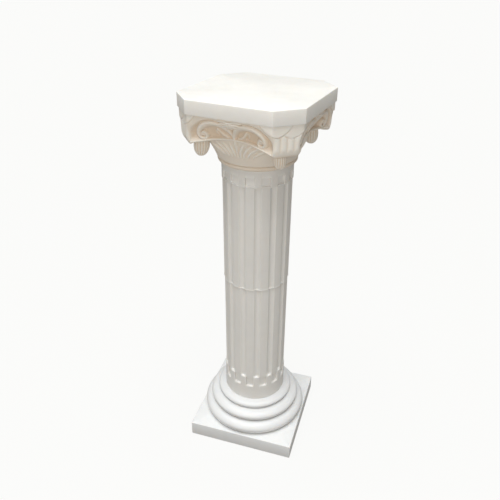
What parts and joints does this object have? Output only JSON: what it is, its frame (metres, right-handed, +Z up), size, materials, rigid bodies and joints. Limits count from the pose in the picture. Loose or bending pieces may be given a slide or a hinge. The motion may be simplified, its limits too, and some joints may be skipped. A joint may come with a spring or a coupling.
{
  "type": "pedestal column with scrolled capital",
  "caption": "White moulded-plastic pedestal column: square ringed base, fluted shaft in two halves, scrolled capital with corner horns, cut-corner top slab.",
  "frame": {"origin": "middle of the base's underside, on the surface it stands on", "axes": "+Z up the column's axis, -Y out of the front side of the square base"},
  "size_m": [0.3004, 0.3004, 0.9],
  "materials": {
    "base_white": "cool white moulded plastic, soft sheen",
    "shaft_white": "warm grey-white moulded plastic, soft sheen, light dust in the flutes",
    "capital_cream": "cream moulded plastic, tan in the carved hollows, paler on the raised edges",
    "slab_white": "white moulded plastic, smooth satin"
  },
  "bodies": {
    "root": {"base": "base_white", "lower_shaft": "shaft_white", "upper_shaft": "shaft_white", "capital": "capital_cream", "top_slab": "slab_white"}
  },
  "joints": []
}
